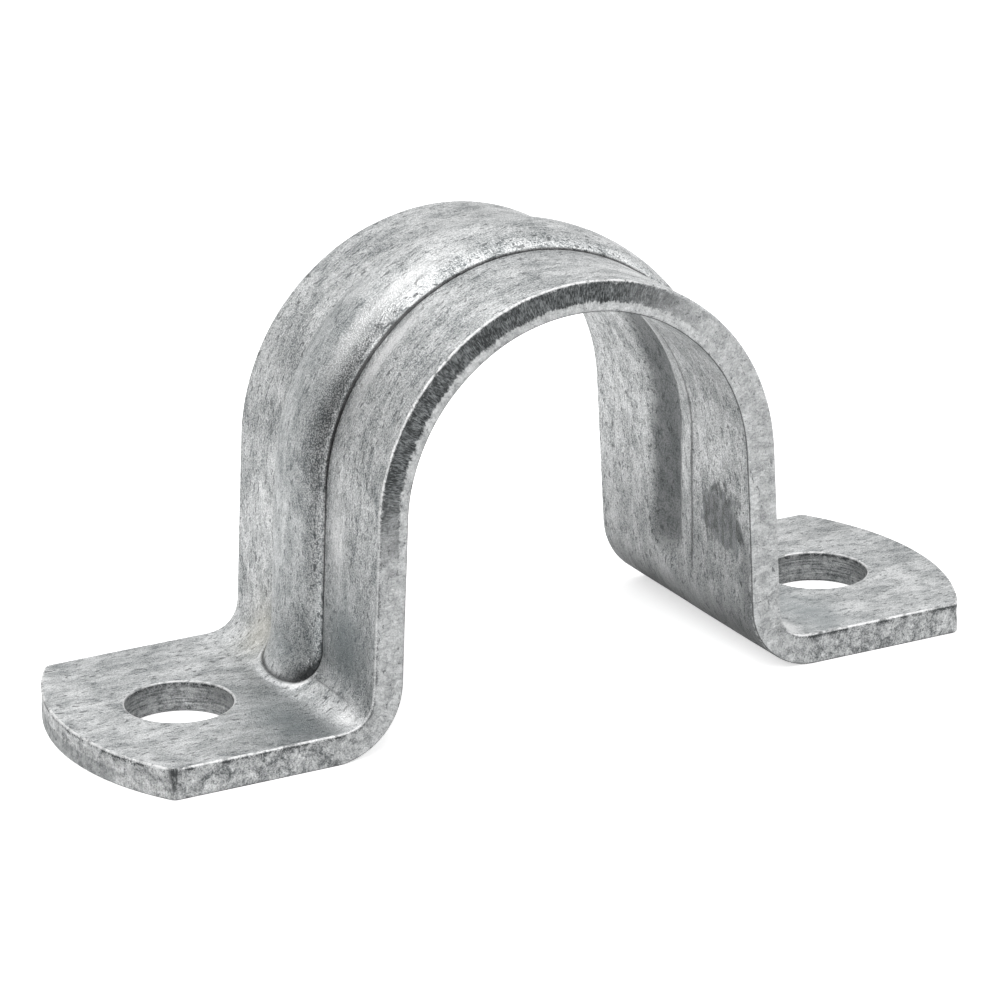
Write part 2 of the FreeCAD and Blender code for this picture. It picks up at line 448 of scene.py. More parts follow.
# %% The two skins of the arch, the legs and the bends
def skin_height(distance, across, inside):
    """Height of the inside or the outside skin, with groove or bead and unevenness."""
    uneven = unevenness(distance, across, UNEVENNESS)
    if inside:
        return groove_height(distance, across) + uneven
    return SHEET + bead_height(distance, across) + bend_marks(distance, across) + uneven


def add_skin(inset, inside):
    """One skin between the two bend lines, its edges set in by the rounding of the wall."""
    across = across_lines * (1 - inset / HALF_WIDTH)
    distance, across = np.meshgrid(along_lines, across, indexing="ij")
    height = skin_height(distance, across, inside)
    add_sheet(distance, across, height, False, SKIN, float(inside), (distance, across))


add_skin(ROUND, inside=False)
add_skin(BREAK, inside=True)

# %% The skins of the feet, from the rim of the hole to the outline
HOLE_BREAK = 0.12
hole_middle = np.array([hole_distance, 0.0])
RADIAL_STEPS = 18


def foot_loop(inset):
    """The closed loop round a foot: the outline, set in, and back along the bend line."""
    around = outline - inset * outline_out
    across = across_lines[1:-1][::-1] * (1 - inset / HALF_WIDTH)
    home = np.stack([np.full_like(across, foot_start), across], axis=1)
    around[0, 0] = foot_start
    around[-1, 0] = foot_start
    return np.concatenate([around, home])


def from_hole():
    """Directions from the middle of the hole to each point of the loop round the foot."""
    ray = foot_loop(0.0) - hole_middle
    return ray / np.linalg.norm(ray, axis=1, keepdims=True)


def add_foot_skin(side, inset, inside):
    """A skin on a foot: each point lies between the hole's rim and the loop round the foot.

    point = (1 - v) rim + v loop, where the rim's point lies in the same direction.
    """
    rim = hole_middle + (HOLE_RADIUS + HOLE_BREAK) * from_hole()
    v = np.linspace(0, 1, RADIAL_STEPS)[None, :, None]
    points = (1 - v) * rim[:, None] + v * foot_loop(inset)[:, None]
    distance = side * points[..., 0]
    across = points[..., 1]
    height = skin_height(distance, across, inside)
    add_sheet(distance, across, height, True, SKIN, float(inside), (distance, across))


for side in (-1, 1):
    add_foot_skin(side, ROUND, inside=False)
    add_foot_skin(side, BREAK, inside=True)

# %% [markdown]
# ## The sheared wall
#
# Shears don't cut sheet metal clean through. The blade first rounds the surface over, then
# wipes a smooth bright band, and then the rest tears off and stays rough. So the wall is a
# small profile, carried all the way round the outline: a rounded edge, a rough band that
# lies a little deeper, a smooth band, and a broken edge at the conduit's side.

# %% The wall's profile, from the outside skin to the inside one
TEAR_DEPTH = 0.05


def wall_profile(rounding, breaking, round_steps, flat_steps):
    """Insets from the outline and shares of the thickness, from outside to inside.

    The rounding is a quarter circle, and the broken edge is a short slope.
    """
    turn = np.linspace(0, np.pi / 2, round_steps)
    share = rounding / SHEET * (1 - np.cos(turn))
    inset = rounding * (1 - np.sin(turn))
    middle = np.linspace(rounding / SHEET, 1 - breaking / SHEET, flat_steps)[1:]
    torn = TEAR_DEPTH * np.exp(-((middle - 0.35) / 0.2) ** 4)
    share = np.concatenate([share, middle, [1.0]])
    inset = np.concatenate([inset, torn, [breaking]])
    return inset, share


def add_wall(points, outward, rounding, breaking, kind):
    """Carries the wall's profile round a closed loop of flat points.

    point = loop point - inset * outward, and its height lies between those of the two skins
    at the places where they end.
    """
    inset, share = wall_profile(rounding, breaking, 5, 14)
    outer_end = points - rounding * outward
    inner_end = points - breaking * outward
    outer = skin_height(outer_end[:, 0], outer_end[:, 1], inside=False)[:, None]
    inner = skin_height(inner_end[:, 0], inner_end[:, 1], inside=True)[:, None]
    height = outer + (inner - outer) * share
    place = points[:, None] - inset[None, :, None] * outward[:, None]
    steps = np.linalg.norm(np.roll(points, -1, axis=0) - points, axis=1)
    run = np.concatenate([[0.0], np.cumsum(steps)[:-1]])[:, None]
    flat = (run + 0 * share, 0 * run + share * SHEET)
    add_sheet(place[..., 0], place[..., 1], height, True, kind, share, flat)


# %% All round the outline, and through both screw holes
def mirrored(points):
    """The same points on the other foot, or the same directions there."""
    return points * np.array([-1.0, 1.0])


side_run = along_lines[1:-1]
front = np.stack([side_run, np.full_like(side_run, -HALF_WIDTH)], axis=1)
front_out = np.tile([0.0, -1.0], (len(front), 1))
back = front[::-1] * np.array([1.0, -1.0])
right_foot = outline.copy()
right_foot[[0, -1], 0] = foot_start
left_foot = mirrored(right_foot)[::-1]
loop = np.concatenate([front, right_foot, back, left_foot])
loop_out = np.concatenate([front_out, outline_out, -front_out, mirrored(outline_out)[::-1]])
add_wall(loop, loop_out, ROUND, BREAK, SHEARED)

for side in (-1, 1):
    flip = np.array([side, 1.0])
    rim = (hole_middle + HOLE_RADIUS * from_hole()) * flip
    add_wall(rim, -from_hole() * flip, HOLE_BREAK, HOLE_BREAK, PUNCHED)

# %% [markdown]
# ## Sewing the sheets together
#
# Neighbouring sheets share their edge points, so welding the points that coincide closes the
# surface. The flat coordinates are kept per face corner, as a UV map, because a point on the
# rounded edge belongs to two sheets with different flat coordinates.

# %% One mesh from all the sheets
def grid_faces(rows, columns, closed, first):
    """Corner numbers of the quads of a grid, wrapped round if it is closed."""
    row = np.arange(rows if closed else rows - 1)[:, None]
    column = np.arange(columns - 1)[None, :]
    next_row = (row + 1) % rows
    corners = [
        row * columns + column, next_row * columns + column,
        next_row * columns + column + 1, row * columns + column + 1,
    ]
    return first + np.stack(corners, axis=-1).reshape(-1, 4)


faces = []
count = 0
for sheet in sheets:
    rows, columns = sheet["points"].shape[:2]
    corners = grid_faces(rows, columns, sheet["closed"], count)
    faces.append(corners)
    sheet["face_kind"] = np.full(len(corners), sheet["kind"])
    count += rows * columns
faces = np.concatenate(faces)


def gathered(name, width=1):
    """One array over all points, from the same entry of every sheet."""
    return np.concatenate([sheet[name].reshape(-1, width) for sheet in sheets])


# The unevenness may not stick out of the solid model's box.
points = np.clip(gathered("points", 3) * MM, np.array(cad_box[0]), np.array(cad_box[1]))
flat = gathered("flat", 2)
face_kind = np.concatenate([sheet["face_kind"] for sheet in sheets])

mesh = bpy.data.meshes.new("pressed_strap")
mesh.vertices.add(len(points))
mesh.vertices.foreach_set("co", points.ravel())
mesh.loops.add(faces.size)
mesh.loops.foreach_set("vertex_index", faces.ravel())
mesh.polygons.add(len(faces))
mesh.polygons.foreach_set("loop_start", np.arange(0, faces.size, 4))
mesh.update(calc_edges=True)
mesh.uv_layers.new(name="flat_strip").data.foreach_set("uv", flat[faces.ravel()].ravel())
mesh.polygons.foreach_set("material_index", face_kind)
print("points before welding:", len(points))

# %% [markdown]
# ## Where the metal is marked
#
# Some marks belong to a place on the strap: a dark stain on the inside of one leg, a warm tint,
# pits beside the bead, dirt at one corner of a foot, the torn part of the sheared wall. Each is
# a number from 0 to 1 at every point, worked out from the flat coordinates and kept as an
# attribute that the finishes read. Painting them by hand would give the same kind of map.
#
# Other marks are painted light and shade: painted shade along the bead's roots, on the flank
# and top of its left half, round the tongues, along the groove, in its hollow, inside the bends
# and below the rounded edges, and painted highlights on the bead's shoulder, beside its root,
# in the bends and on the rounded edges. They are fixed to the metal, so they don't slide when
# the camera moves, but they don't follow the lamps either.
#
# Places and sizes of marks are millimetres on the flat strip. The distance along it is zero at
# the crown and negative on the left, and the distance across is negative at the front.

# %% The flat coordinates of all points, and the kind of surface each lies on
distance = gathered("distance")[:, 0]
across = gathered("across")[:, 0]
inside = gathered("inside")[:, 0]
from_crown = np.abs(distance)
over_sheet = bead_over_sheet(distance, across)
point_kind = np.concatenate([np.full(sheet["inside"].size, sheet["kind"]) for sheet in sheets])
outer_skin = (point_kind == SKIN) & (inside < 0.5)
inner_skin = (point_kind == SKIN) & (inside > 0.5)
sheared = point_kind == SHEARED
print("points outside:", outer_skin.sum(), " inside:", inner_skin.sum(), " sheared:", sheared.sum())


# %% Two shapes of mark
def blob(along, sideways, length, width):
    """A soft round mark: exp(-(distance / length)^2 - (across / width)^2)."""
    return np.exp(-((distance - along) / length) ** 2 - ((across - sideways) / width) ** 2)


def line(offset, width):
    """A soft line, where "offset" says how far each point is from it: exp(-(offset / width)^2)."""
    return np.exp(-(offset / width) ** 2)


# %% Painted shade in the bead's roots, in the bends' creases and round the tongues, and marks by each bend
# Painted shade: a dark line along the bead's pinched roots, and one along the fine crease across
# each bend.
crease = line(over_sheet + 0.03, 0.12) * outer_skin
crease = crease + 0.55 * bend_crease(distance, across) * outer_skin
round_tongue = line(over_sheet + 0.32, 0.12)
smooth_and_shade = np.zeros_like(distance)
painted_highlight = np.zeros_like(distance)
for side in (-1, 1):
    # Painted shade at the front corner of each tongue.
    shade = blob(side * (bend_start + 2.3), front_root + 0.6, 1.9, 1.5) * outer_skin
    crease = crease + 1.15 * shade * line(over_sheet - 0.18, 0.28)
    # Painted highlights: a bright spot in each bend near the front edge, and bright crescents round
    # each tongue.
    painted_highlight += 0.85 * blob(side * (bend_start + 4.2), -9.4, 1.1, 1.7)
    painted_highlight += 1.6 * blob(side * (bend_start + 4.6), -2.4, 1.3, 1.3) * round_tongue
    painted_highlight += 1.2 * blob(side * (bend_start + 4.3), 4.8, 0.9, 0.9) * round_tongue
    # Smoother, darker patches just above, in and just past each bend.
    smooth_and_shade += 0.9 * blob(side * (bend_start - 1.6), -6.3, 3.2, 3.0)
    smooth_and_shade += 0.8 * blob(side * (foot_start + 1.7), -7.0, 1.9, 4.5)
    smooth_and_shade += 0.7 * blob(side * (bend_start + 1.5), 1.5, 2.6, 2.6)

# %% Painted shade on the bead's left flank and along its roots, and on the back flange behind it
left_half = smooth_step(0.0, -8.0, distance) * smooth_step(-bend_start, -bend_start + 4.0, distance)
front_flank = line(over_sheet - 0.45, 0.38) * (across < BEAD_MIDDLE) * outer_skin
flank_shade = 0.24 + 0.38 * line(distance + 14.5, 6.0)
crease = crease + flank_shade * front_flank * left_half

on_arch = smooth_step(leg_start + 3.0, leg_start - 4.0, from_crown) * outer_skin
on_arch_and_legs = smooth_step(bend_start, bend_start - 3.0, from_crown) * outer_skin
# Painted shade: dark lines along both roots of the bead.
crease = crease + 0.45 * line(across - back_root, 0.16) * on_arch_and_legs
crease = crease + 0.95 * line(across - front_root, 0.09) * on_arch

# Painted shade on the back flange behind the bead, from the left of the crown onwards to the right.
behind_bead = smooth_step(back_root, back_root + 1.0, across) * outer_skin
crease = crease + 0.10 * smooth_step(-15.0, -7.0, distance) * behind_bead

# %% Painted highlights on the bead's front shoulder and beside its root, and painted shade on the top of its left half
on_shoulder = line(across - front_root - 1.9, 0.8) * smooth_step(-17.5, -12.5, distance)
painted_highlight += 0.60 * on_shoulder * smooth_step(-1.0, -7.0, distance)
painted_highlight += 0.85 * blob(-12.0, front_root - 1.15, 4.0, 0.75)
painted_highlight += 0.55 * blob(-24.5, front_root - 1.8, 3.4, 1.1)
painted_highlight = painted_highlight * outer_skin

# Painted shade, with smoother metal, on the top of the bead's left half.
on_bead = smooth_step(0.5, 1.0, over_sheet) * smooth_step(-5.0, -14.0, distance)
smooth_and_shade = np.maximum(smooth_and_shade, 0.28 * on_bead * on_arch_and_legs)
smooth_and_shade = smooth_and_shade * outer_skin

# %% The groove: lines of painted shade along its front and its lip, and painted shade in its hollow
over_groove = across_groove(distance, across)
on_leg = smooth_step(bend_start + 1.4, bend_start - 2.4, from_crown) * inner_skin
# Painted shade: dark lines along the groove's front and its lip.
lip_lines = 0.85 * line(over_groove - GROOVE_FRONT, 0.17)
lip_lines = lip_lines + 0.75 * line(over_groove - GROOVE_LIP + 0.05, 0.10)
crease = crease + lip_lines * on_leg
# Painted shade in the groove's hollow.
hollow = smooth_step(GROOVE_LIP - 0.05, GROOVE_LIP + 0.10, over_groove)
hollow = hollow * smooth_step(GROOVE_BACK + 0.2, GROOVE_BACK - 1.4, over_groove) * on_leg

# %% A stain inside the right leg, a warm tint by the left bend, and pocks with painted shade beside the bead
stain = blob(leg_start + 5.9, -6.9, 2.4, 3.0) * inner_skin
tint = blob(-bend_start - 2.0, 5.9, 2.8, 1.9) * outer_skin
# Pocks on the bead's front shoulder, with painted shade laid under them.
pits_and_shade = blob(-leg_start + 4.0, front_root + 1.2, 5.4, 1.2) * outer_skin

# %% Painted shade inside the bends, and a little way up the legs, strongest near the front edge
under_bend_shade = angle_in_bend(distance) - 0.28 * smooth_step(-9.0, 0.0, across)
under_bend_shade = smooth_step(-0.50, 0.60, under_bend_shade)
low_on_leg = smooth_step(bend_start - 9.0, bend_start - 1.0, from_crown)
near_edge = line(across + HALF_WIDTH - 0.4, 1.1)
under_bend_shade = np.maximum(under_bend_shade, (0.27 + 0.40 * near_edge) * low_on_leg)
under_bend_shade = under_bend_shade * smooth_step(foot_start + 1.5, foot_start - 0.5, from_crown)
under_bend_shade = under_bend_shade * inner_skin

# %% How torn and how scuffed the walls are, and how grainy the skins
bite = 0.10 + 0.90 * smooth_step(-27.0, -19.0, distance) * smooth_step(12.0, 2.0, distance)
scuffed = 0.55 + 0.45 * smooth_step(bend_start, foot_start + 3.0, from_crown)
scuffed = np.where(point_kind == PUNCHED, 0.6, scuffed)
grainy = 0.65 + 0.35 * smooth_step(foot_start, bend_start - 2.0, from_crown)

# %% The left foot's end, its lower lip and dirty corner, a painted highlight on the rims and painted shade below them
end_face = smooth_step(-corner_along + 0.4, -corner_along - 0.2, distance) * sheared
lower_lip = end_face * smooth_step(-6.4, -6.0, across)
corner_dirt = 1.7 * blob(-corner_along - 0.3, -HALF_WIDTH + 0.08, 0.34, 0.34) * (1 - 0.8 * inside)
corner_dirt = corner_dirt * sheared
# Painted highlight on the rounded edges of the feet, the bends and the left of the arch.
rim_light = smooth_step(bend_start + 1.0, foot_start - 1.0, from_crown)
rim_light += smooth_step(-24.0, -19.0, distance) * smooth_step(8.0, 2.0, distance)
# Painted shade: a dark line below the rounded edges, and along the left leg too.
edge_line = np.maximum(rim_light, 0.7 * smooth_step(-15.0, -20.0, distance))

# %% Keep the marks as point attributes
marks = {
    "inside": inside, "crease": crease, "stain": stain, "hollow": hollow,
    "smooth_and_shade": smooth_and_shade, "painted_highlight": painted_highlight, "tint": tint, "pits_and_shade": pits_and_shade, "bite": bite,
    "scuffed": scuffed, "grainy": grainy, "lower_lip": lower_lip, "corner_dirt": corner_dirt,
    "rim_light": rim_light, "edge_line": edge_line, "end_face": end_face,
    "under_bend_shade": under_bend_shade,
}
for name, values in marks.items():
    attribute = mesh.attributes.new(name, "FLOAT", "POINT")
    attribute.data.foreach_set("value", np.clip(values, 0.0, 1.0))
    print(f"mark {name}: from {values.min():.2f} to {values.max():.2f}")

# %% Weld the seams and turn all faces outwards
WELD_DISTANCE = 0.004
shape = bmesh.new()
shape.from_mesh(mesh)
bmesh.ops.remove_doubles(shape, verts=shape.verts, dist=WELD_DISTANCE * MM)
bmesh.ops.recalc_face_normals(shape, faces=shape.faces)
loose = [edge for edge in shape.edges if not edge.is_manifold]
print("points:", len(shape.verts), " open edges:", len(loose))
shape.to_mesh(mesh)
shape.free()
mesh.polygons.foreach_set("use_smooth", np.ones(len(mesh.polygons), dtype=bool))
mesh.update()

# %% The piece, which stands for the solid model's strap
strap = bpy.data.objects.new("pressed_strap", mesh)
bpy.context.collection.objects.link(strap)
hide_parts("strap")
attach(strap, "root")
print("piece:", strap.name, " faces:", len(mesh.polygons))

# %% [markdown]
# ## Tools for the finishes
#
# A finish is a graph of nodes. These helpers keep the graphs short: each makes one kind of node
# and returns its output, so that a finish reads like a formula. Patterns that belong to the
# zinc as a coating use the object's own coordinates. Patterns that follow the strip, such as
# scratches from the press, use the flat coordinates.

# %% Helpers that start a finish and join its values
def new_finish(name):
    """An empty node graph with a shader for metal, and its node tree."""
    finish = bpy.data.materials.new(name)
    finish.use_nodes = True
    shader = finish.node_tree.nodes["Principled BSDF"]
    shader.inputs["Metallic"].default_value = 1.0
    return finish, finish.node_tree, shader


def put(tree, value, socket):
    """Joins an output to a socket, or writes a constant into it."""
    if isinstance(value, bpy.types.NodeSocket):
        tree.links.new(value, socket)
    else:
        socket.default_value = value


def maths(tree, operation, first, second=0.0, third=0.0):
    """One sum of the Math node."""
    node = tree.nodes.new("ShaderNodeMath")
    node.operation = operation
    for value, socket in zip((first, second, third), node.inputs):
        put(tree, value, socket)
    return node.outputs[0]


# %% Helpers that map values and mix colours
def ramp(tree, value, low, high, to_low=0.0, to_high=1.0):
    """Maps low..high to to_low..to_high with soft ends, and holds it outside."""
    node = tree.nodes.new("ShaderNodeMapRange")
    node.interpolation_type = "SMOOTHSTEP"
    put(tree, value, node.inputs["Value"])
    put(tree, low, node.inputs["From Min"])
    put(tree, high, node.inputs["From Max"])
    put(tree, to_low, node.inputs["To Min"])
    put(tree, to_high, node.inputs["To Max"])
    return node.outputs["Result"]


def mixed(tree, share, first, second):
    """Colour between two colours."""
    node = tree.nodes.new("ShaderNodeMix")
    node.data_type = "RGBA"
    put(tree, share, node.inputs["Factor"])
    put(tree, first, node.inputs["A"])
    put(tree, second, node.inputs["B"])
    return node.outputs["Result"]


def grey(level, blue=0.0):
    """A near neutral colour, a little cooler if "blue" is above zero."""
    return (level * (1 - 1.7 * blue), level, level * (1 + 0.5 * blue), 1.0)


# %% Helpers that add up and weigh
def mark(tree, name):
    """One of the marks that the mesh carries."""
    node = tree.nodes.new("ShaderNodeAttribute")
    node.attribute_name = name
    return node.outputs["Fac"]


def total(tree, first, *others):
    """Adds up several values."""
    for value in others:
        first = maths(tree, "ADD", first, value)
    return first


def product(tree, first, second):
    """One value times another."""
    return maths(tree, "MULTIPLY", first, second)


def some_of(tree, name, share):
    """A mark made weaker: at its strongest it is "share"."""
    return product(tree, mark(tree, name), share)


# %% Helpers that lay patterns and relief
def coating_place(tree):
    """The object's own coordinates, in metres."""
    return tree.nodes.new("ShaderNodeTexCoord").outputs["Object"]


def strip_place(tree):
    """The flat coordinates, in millimetres."""
    node = tree.nodes.new("ShaderNodeUVMap")
    node.uv_map = "flat_strip"
    return node.outputs["UV"]


def noise(tree, place, sizes, turn=0.0, detail=2.0, roughness=0.5, distortion=0.0):
    """Soft noise, from about 0.25 to 0.75, whose lumps are as long and wide as "sizes"."""
    mapping = tree.nodes.new("ShaderNodeMapping")
    mapping.inputs["Rotation"].default_value = (0.0, 0.0, turn)
    mapping.inputs["Scale"].default_value = [1 / size for size in sizes]
    put(tree, place, mapping.inputs["Vector"])
    node = tree.nodes.new("ShaderNodeTexNoise")
    put(tree, mapping.outputs["Vector"], node.inputs["Vector"])
    node.inputs["Scale"].default_value = 1.0
    node.inputs["Detail"].default_value = detail
    node.inputs["Roughness"].default_value = roughness
    node.inputs["Distortion"].default_value = distortion
    return node.outputs["Fac"]


def relief(tree, height, depth, normal=None):
    """Bump: the surface rises by "depth" metres where the height goes from 0 to 1."""
    node = tree.nodes.new("ShaderNodeBump")
    node.inputs["Strength"].default_value = 1.0
    node.inputs["Distance"].default_value = depth
    put(tree, height, node.inputs["Height"])
    if normal is not None:
        put(tree, normal, node.inputs["Normal"])
    return node.outputs["Normal"]


# %% [markdown]
# ## The skin: hot-dipped zinc
#
# Zinc from a bath freezes in a fine grain and goes dull and cloudy as it weathers. It shows
# patterns of several sizes: clouds of a few millimetres, blotches and smudges of one or two,
# pits and short strokes of half a millimetre, and a grain of a tenth. The press drew most of
# them out along the strip, so those lie on the flat coordinates. The grain is both colour and
# relief, so that it sparkles in the lights and dulls where they don't reach.
# An image of zinc would be quicker to lay, but it would repeat.

# %% The patterns of the skin
PALE_ZINC = (0.832, 0.840, 0.843, 1.0)
WARM_TINT = (0.56, 0.53, 0.43, 1.0)


def skin_patterns(tree):
    """The noises of the skin, by name: sizes in metres on the coating, in mm on the strip."""
    coating = coating_place(tree)
    strip = strip_place(tree)
    return {
        "clouds": noise(tree, coating, (0.0045,) * 3, roughness=0.6),
        "blotches": noise(tree, strip, (2.2, 1.1, 1.0), 0.15, detail=4.0, roughness=0.62,
                          distortion=0.6),
        "strokes": noise(tree, strip, (0.55, 0.13, 1.0), -0.22, distortion=0.4),
        "grain": noise(tree, coating, (0.00011,) * 3, detail=1.0, roughness=0.6),
        "smudges": noise(tree, strip, (1.6, 0.8, 1.0), 0.5, detail=4.0, roughness=0.7),
        "pits": noise(tree, strip, (0.70, 0.36, 1.0), 0.5, detail=3.0, roughness=0.6,
                      distortion=0.3),
    }


# %% How pale the zinc is
def skin_level(tree, patterns, speckle):
    """Share of pale zinc: the patterns added up, a little stronger on the feet, plus a middle.

    The middle is a little higher on the conduit's side.
    """
    level = total(
        tree,
        ramp(tree, patterns["clouds"], 0.33, 0.66, -0.11, 0.10),
        ramp(tree, patterns["blotches"], 0.30, 0.70, -0.20, 0.16),
        ramp(tree, patterns["strokes"], 0.53, 0.72, 0.03, -0.42),
        speckle)
    level = product(tree, level, ramp(tree, mark(tree, "scuffed"), 0.55, 1.0, 1.05, 1.15))
    middle = maths(tree, "MULTIPLY_ADD", mark(tree, "inside"), 0.06, 0.54)
    return maths(tree, "ADD", level, middle)


# %% Dark spots, dirt and painted shade over the zinc
def with_dirt_and_shade(tree, patterns, pocks_and_shade, colour):
    """Lays smudges, pits, pocks with painted shade under them, and the painted shade of the crease
    mark over a colour.
    """
    smudged = ramp(tree, patterns["smudges"], 0.59, 0.74, 0.0, 0.50)
    colour = mixed(tree, smudged, colour, grey(0.20, 0.05))
    pits = ramp(tree, patterns["pits"], 0.59, 0.64, 0.0, 0.72)
    colour = mixed(tree, pits, colour, grey(0.09, 0.04))
    colour = mixed(tree, product(tree, pocks_and_shade, 0.85), colour, grey(0.07, 0.04))
    # The mark "crease" is painted shade: dark lines along the roots, the creases and the groove,
    # the bead's left flank, the tongues' corners and the flange behind the bead.
    return mixed(tree, some_of(tree, "crease", 0.96), colour, grey(0.012))


# %% Painted shade in the groove and the bends, and the stain
def with_shade_and_stain(tree, patterns, colour):
    """Lays painted shade over a colour, darkest inside the bends, and then the stain, ragged and
    broken up by blotches.
    """
    groove_and_bend_shade = maths(tree, "MAXIMUM", some_of(tree, "hollow", 0.72), some_of(tree, "under_bend_shade", 0.92))
    shade_colour = mixed(tree, mark(tree, "under_bend_shade"), grey(0.11, 0.05), grey(0.055, 0.05))
    colour = mixed(tree, groove_and_bend_shade, colour, shade_colour)

    ragged = maths(tree, "MULTIPLY_ADD", patterns["smudges"], 1.6, mark(tree, "stain"))
    strength = ramp(tree, mark(tree, "stain"), 0.05, 0.30, 0.0, 0.72)
    stained = product(tree, ramp(tree, ragged, 1.10, 1.30), strength)
    broken = ramp(tree, patterns["blotches"], 0.40, 0.62)
    stain_colour = mixed(tree, broken, grey(0.05, 0.05), grey(0.19, 0.05))
    return mixed(tree, stained, colour, stain_colour)


# %% Smoother patches, tint and painted highlights
def with_patches_tint_and_highlights(tree, colour):
    """Lays smoother, darker patches with painted shade, the warm tint and painted highlights over a
    colour.
    """
    colour = mixed(tree, some_of(tree, "smooth_and_shade", 0.80), colour, grey(0.27, 0.07))
    colour = mixed(tree, some_of(tree, "tint", 0.40), colour, WARM_TINT)
    return mixed(tree, some_of(tree, "painted_highlight", 0.75), colour, grey(0.95))


# %% The finish of the two skins
def zinc_skin():
    """Pale zinc with its dirt, painted shade and painted highlights. Blotches, grain, pits and
    pocks are relief too.
    """
    finish, tree, shader = new_finish("dipped_zinc")
    patterns = skin_patterns(tree)
    speckle = ramp(tree, patterns["grain"], 0.25, 0.75, -0.32, 0.32)
    speckle = product(tree, speckle, mark(tree, "grainy"))
    # Pocks, laid over a painted shade that covers the whole place beside the bead.
    pocks_and_shade = ramp(tree, patterns["grain"], 0.60, 0.46, 0.30, 1.0)
    pocks_and_shade = product(tree, pocks_and_shade, mark(tree, "pits_and_shade"))

    colour = mixed(tree, skin_level(tree, patterns, speckle), grey(0.15, 0.06), PALE_ZINC)
    colour = with_dirt_and_shade(tree, patterns, pocks_and_shade, colour)
    colour = with_shade_and_stain(tree, patterns, colour)
    put(tree, with_patches_tint_and_highlights(tree, colour), shader.inputs["Base Color"])

    roughness = ramp(tree, patterns["blotches"], 0.3, 0.7, 0.42, 0.30)
    roughness = maths(tree, "SUBTRACT", roughness, some_of(tree, "smooth_and_shade", 0.08))
    put(tree, roughness, shader.inputs["Roughness"])

    dents = ramp(tree, patterns["pits"], 0.59, 0.66, 1.0, 0.0)
    dents = maths(tree, "MULTIPLY_ADD", pocks_and_shade, -1.0, dents)
    normal = relief(tree, patterns["blotches"], 0.00006)
    normal = relief(tree, speckle, 0.00004, normal)
    put(tree, relief(tree, dents, 0.00003, normal), shader.inputs["Normal"])
    return finish


# %% [markdown]
# ## The sheared and punched walls
#
# The torn part of a sheared wall is rough and dark, with fine paler hairs that slant a little.
# Its border is ragged. The wiped part is brighter, with fine streaks that run through the
# sheet's thickness. In the holes the punch left rings. A painted highlight lies on the rounded
# edge, with a broken line of painted shade below it. The mark "inside" says how deep in the
# thickness a point lies, so lines along the edges and the torn part's borders are ramps on it.

# %% The patterns of a wall
def wall_patterns(tree, streak_sizes):
    """The noises of a wall, by name: sizes in metres on the coating, in mm on the strip."""
    coating = coating_place(tree)
    strip = strip_place(tree)
    return {
        "blotches": noise(tree, coating, (0.0009,) * 3, detail=4.0, roughness=0.7,
                          distortion=0.6),
        "grain": noise(tree, coating, (0.00012,) * 3, roughness=0.8),
        "streaks": noise(tree, strip, (*streak_sizes, 1.0), detail=3.0, roughness=0.6),
        "hairs": noise(tree, strip, (0.055, 0.40, 1.0), 0.35, distortion=0.8),
        "specks": noise(tree, strip, (0.55, 0.30, 1.0), 0.3, detail=4.0, roughness=0.75,
                        distortion=0.5),
    }


# %% How pale a wall is
WALL_LEVEL = 0.47


def wall_level(tree, patterns, streak_depth, darkness):
    """Share of pale zinc: the patterns added up, stronger where scuffed, plus a middle.

    The middle is higher on the left foot's end, and a little on the arch and the legs.
    """
    level = total(
        tree,
        ramp(tree, patterns["blotches"], 0.3, 0.7, -0.34, 0.22),
        ramp(tree, patterns["grain"], 0.25, 0.75, -0.28, 0.28),
        ramp(tree, patterns["streaks"], 0.3, 0.7, -streak_depth, streak_depth))
    level = product(tree, level, mark(tree, "scuffed"))
    level = maths(tree, "MULTIPLY_ADD", mark(tree, "end_face"), 0.17, level)
    level = maths(tree, "ADD", level, ramp(tree, mark(tree, "scuffed"), 0.55, 1.0, 0.09, -0.01))
    return maths(tree, "ADD", level, WALL_LEVEL - darkness)


# %% The torn part of a wall
def torn_part(tree, patterns):
    """Where the wall is torn: a band of the thickness with ragged borders, where it has a bite."""
    ragged = maths(tree, "MULTIPLY_ADD", patterns["streaks"], 0.30, mark(tree, "inside"))
    ragged = maths(tree, "MULTIPLY_ADD", patterns["blotches"], 0.25, ragged)
    torn = product(tree, ramp(tree, ragged, 0.33, 0.38), ramp(tree, ragged, 1.00, 0.92))
    return product(tree, torn, mark(tree, "bite"))


def torn_colour(tree, patterns):
    """Dark metal with paler hairs."""
    hairs = maths(tree, "MULTIPLY_ADD", patterns["blotches"], 0.5,
                  product(tree, patterns["hairs"], 0.7))
    return mixed(tree, ramp(tree, hairs, 0.50, 0.78), grey(0.045, 0.04), grey(0.28, 0.03))


# %% The lower lip and the painted highlight on the rim of a wall
def with_lip_and_rim(tree, patterns, colour):
    """Darkens the left foot's end in its lower half, and paints a patchy highlight on the rounded
    edge.
    """
    lip = product(tree, ramp(tree, mark(tree, "inside"), 0.50, 0.53),
                  some_of(tree, "lower_lip", 0.45))
    colour = mixed(tree, lip, colour, grey(0.16, 0.04))
    rim = product(tree, ramp(tree, mark(tree, "inside"), 0.06, 0.02),
                  ramp(tree, patterns["blotches"], 0.36, 0.56, 0.20, 0.80))
    return mixed(tree, product(tree, rim, mark(tree, "rim_light")), colour, grey(0.78))


